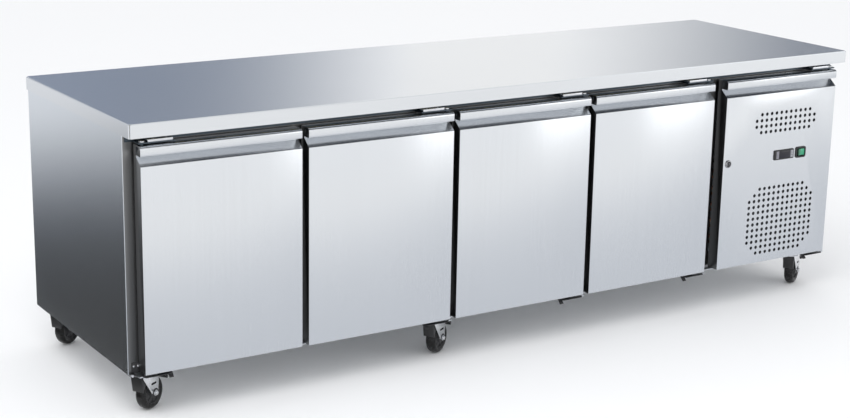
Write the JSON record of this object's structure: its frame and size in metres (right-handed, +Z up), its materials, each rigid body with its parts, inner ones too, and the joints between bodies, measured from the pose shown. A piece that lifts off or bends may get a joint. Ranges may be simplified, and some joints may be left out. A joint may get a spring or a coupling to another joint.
{
  "type": "refrigerated counter",
  "caption": "under counter fridge in brushed stainless steel with hinged doors, a vented machine compartment and swivel castors",
  "frame": {"origin": "on the floor under the middle of the worktop", "axes": "+X along the length, to the right seen from the front; +Y to the back, away from the doors; +Z up"},
  "size_m": [2.4, 0.72, 0.775],
  "materials": {
    "brushed_steel": "satin brushed grain",
    "dark_steel": "dull grey steel",
    "foam": "cut rigid foam",
    "white_plastic": "smooth moulded liner",
    "grey_rubber": "matt extruded seal",
    "shelf_wire": "bright plated wire",
    "black_plastic": "fine matt texture",
    "green_plastic": "glossy translucent",
    "chrome": "polished plating",
    "aluminium": "bare mill finish",
    "black_paint": "satin black",
    "zinc": "bright zinc plate",
    "black_rubber": "matt moulded tread"
  },
  "bodies": {
    "cabinet": {"worktop": "brushed_steel", "left_side_panel": "brushed_steel", "right_side_panel": "brushed_steel", "back_panel": "brushed_steel", "base_panel": "brushed_steel", "front_frame": "brushed_steel", "insulation": "foam", "inner_liner": "brushed_steel", "top_hinge_rail": "dark_steel", "shelf_1": "shelf_wire", "shelf_2": "shelf_wire", "shelf_3": "shelf_wire", "shelf_4": "shelf_wire", "condenser": "aluminium", "compressor": "black_paint", "evaporator": "aluminium", "cable_gland": "black_plastic", "front_left_castor_plate": "zinc", "front_middle_castor_plate": "zinc", "front_right_castor_plate": "zinc", "rear_left_castor_plate": "zinc", "rear_middle_castor_plate": "zinc", "rear_right_castor_plate": "zinc"},
    "door_1": {"door_1_skin": "brushed_steel", "door_1_inner_pan": "white_plastic", "door_1_gasket": "grey_rubber"},
    "door_2": {"door_2_skin": "brushed_steel", "door_2_inner_pan": "white_plastic", "door_2_gasket": "grey_rubber"},
    "door_3": {"door_3_skin": "brushed_steel", "door_3_inner_pan": "white_plastic", "door_3_gasket": "grey_rubber"},
    "door_4": {"door_4_skin": "brushed_steel", "door_4_inner_pan": "white_plastic", "door_4_gasket": "grey_rubber"},
    "compartment_door": {"unit_door": "brushed_steel", "controller": "black_plastic", "power_switch": "black_plastic"},
    "lock": {"lock_barrel": "chrome"},
    "up_button": {"button_up": "white_plastic"},
    "set_button": {"button_set": "white_plastic"},
    "down_button": {"button_down": "white_plastic"},
    "rocker": {"power_switch_rocker": "green_plastic"},
    "condenser_blades": {"condenser_fan": "black_plastic"},
    "evaporator_blades": {"evaporator_fan": "black_plastic"},
    "front_left_swivel": {"front_left_castor_fork": "zinc"},
    "front_left_wheel": {"front_left_castor_wheel": "black_rubber"},
    "front_middle_swivel": {"front_middle_castor_fork": "zinc"},
    "front_middle_wheel": {"front_middle_castor_wheel": "black_rubber"},
    "front_right_swivel": {"front_right_castor_fork": "zinc"},
    "front_right_wheel": {"front_right_castor_wheel": "black_rubber"},
    "rear_left_swivel": {"rear_left_castor_fork": "zinc"},
    "rear_left_wheel": {"rear_left_castor_wheel": "black_rubber"},
    "rear_middle_swivel": {"rear_middle_castor_fork": "zinc"},
    "rear_middle_wheel": {"rear_middle_castor_wheel": "black_rubber"},
    "rear_right_swivel": {"rear_right_castor_fork": "zinc"},
    "rear_right_wheel": {"rear_right_castor_wheel": "black_rubber"},
    "front_left_pedal": {"front_left_brake_pedal": "black_plastic"},
    "front_middle_pedal": {"front_middle_brake_pedal": "black_plastic"},
    "front_right_pedal": {"front_right_brake_pedal": "black_plastic"}
  },
  "joints": [
    {"name": "door_1_hinge", "type": "hinge", "parent": "cabinet", "child": "door_1", "pos_m": [-1.155, -0.329, 0.4215], "axis": [0, 0, -1], "range_deg": [0, 100]},
    {"name": "door_2_hinge", "type": "hinge", "parent": "cabinet", "child": "door_2", "pos_m": [-0.27, -0.329, 0.4215], "axis": [0, 0, 1], "range_deg": [0, 100]},
    {"name": "door_3_hinge", "type": "hinge", "parent": "cabinet", "child": "door_3", "pos_m": [0.195, -0.329, 0.4215], "axis": [0, 0, 1], "range_deg": [0, 100]},
    {"name": "door_4_hinge", "type": "hinge", "parent": "cabinet", "child": "door_4", "pos_m": [0.66, -0.329, 0.4215], "axis": [0, 0, 1], "range_deg": [0, 100]},
    {"name": "compartment_door_hinge", "type": "hinge", "parent": "cabinet", "child": "compartment_door", "pos_m": [1.16, -0.329, 0.4215], "axis": [0, 0, 1], "range_deg": [0, 100]},
    {"name": "lock_turn", "type": "hinge", "parent": "compartment_door", "child": "lock", "pos_m": [0.742, -0.35, 0.46], "axis": [0, 1, 0], "range_deg": [0, 90]},
    {"name": "up_button_press", "type": "slide", "parent": "compartment_door", "child": "up_button", "axis": [0, 1, 0], "range_m": [0, 0.0008], "stiffness_N_per_m": 400},
    {"name": "set_button_press", "type": "slide", "parent": "compartment_door", "child": "set_button", "axis": [0, 1, 0], "range_m": [0, 0.0008], "stiffness_N_per_m": 400},
    {"name": "down_button_press", "type": "slide", "parent": "compartment_door", "child": "down_button", "axis": [0, 1, 0], "range_m": [0, 0.0008], "stiffness_N_per_m": 400},
    {"name": "rocker_tilt", "type": "hinge", "parent": "compartment_door", "child": "rocker", "pos_m": [1.041, -0.3443, 0.4665], "axis": [0, 0, -1], "range_deg": [0, 16]},
    {"name": "condenser_fan_spin", "type": "hinge", "parent": "cabinet", "child": "condenser_blades", "pos_m": [0.945, -0.155, 0.29], "axis": [0, 1, 0], "continuous": true},
    {"name": "evaporator_fan_spin", "type": "hinge", "parent": "cabinet", "child": "evaporator_blades", "pos_m": [0.565, 0.12, 0.475], "axis": [1, 0, 0], "continuous": true},
    {"name": "front_left_swivel_turn", "type": "hinge", "parent": "cabinet", "child": "front_left_swivel", "pos_m": [-1.145, -0.27, 0.104], "axis": [0, 0, 1], "continuous": true},
    {"name": "front_left_wheel_roll", "type": "hinge", "parent": "front_left_swivel", "child": "front_left_wheel", "pos_m": [-1.11937, -0.25441, 0.045], "axis": [-0.5195, 0.8545, 0], "continuous": true},
    {"name": "front_left_pedal_press", "type": "hinge", "parent": "front_left_swivel", "child": "front_left_pedal", "pos_m": [-1.10911, -0.24818, 0.0985], "axis": [-0.5195, 0.8545, 0], "range_deg": [0, 15]},
    {"name": "front_middle_swivel_turn", "type": "hinge", "parent": "cabinet", "child": "front_middle_swivel", "pos_m": [-0.265, -0.27, 0.104], "axis": [0, 0, 1], "continuous": true},
    {"name": "front_middle_wheel_roll", "type": "hinge", "parent": "front_middle_swivel", "child": "front_middle_wheel", "pos_m": [-0.23937, -0.25441, 0.045], "axis": [-0.5195, 0.8545, 0], "continuous": true},
    {"name": "front_middle_pedal_press", "type": "hinge", "parent": "front_middle_swivel", "child": "front_middle_pedal", "pos_m": [-0.22911, -0.24818, 0.0985], "axis": [-0.5195, 0.8545, 0], "range_deg": [0, 15]},
    {"name": "front_right_swivel_turn", "type": "hinge", "parent": "cabinet", "child": "front_right_swivel", "pos_m": [1.112, -0.27, 0.104], "axis": [0, 0, 1], "continuous": true},
    {"name": "front_right_wheel_roll", "type": "hinge", "parent": "front_right_swivel", "child": "front_right_wheel", "pos_m": [1.13763, -0.25441, 0.045], "axis": [-0.5195, 0.8545, 0], "continuous": true},
    {"name": "front_right_pedal_press", "type": "hinge", "parent": "front_right_swivel", "child": "front_right_pedal", "pos_m": [1.14789, -0.24818, 0.0985], "axis": [-0.5195, 0.8545, 0], "range_deg": [0, 15]},
    {"name": "rear_left_swivel_turn", "type": "hinge", "parent": "cabinet", "child": "rear_left_swivel", "pos_m": [-1.145, 0.31, 0.104], "axis": [0, 0, 1], "continuous": true},
    {"name": "rear_left_wheel_roll", "type": "hinge", "parent": "rear_left_swivel", "child": "rear_left_wheel", "pos_m": [-1.11937, 0.32559, 0.045], "axis": [-0.5195, 0.8545, 0], "continuous": true},
    {"name": "rear_middle_swivel_turn", "type": "hinge", "parent": "cabinet", "child": "rear_middle_swivel", "pos_m": [-0.265, 0.31, 0.104], "axis": [0, 0, 1], "continuous": true},
    {"name": "rear_middle_wheel_roll", "type": "hinge", "parent": "rear_middle_swivel", "child": "rear_middle_wheel", "pos_m": [-0.23937, 0.32559, 0.045], "axis": [-0.5195, 0.8545, 0], "continuous": true},
    {"name": "rear_right_swivel_turn", "type": "hinge", "parent": "cabinet", "child": "rear_right_swivel", "pos_m": [1.112, 0.31, 0.104], "axis": [0, 0, 1], "continuous": true},
    {"name": "rear_right_wheel_roll", "type": "hinge", "parent": "rear_right_swivel", "child": "rear_right_wheel", "pos_m": [1.13763, 0.32559, 0.045], "axis": [-0.5195, 0.8545, 0], "continuous": true}
  ]
}
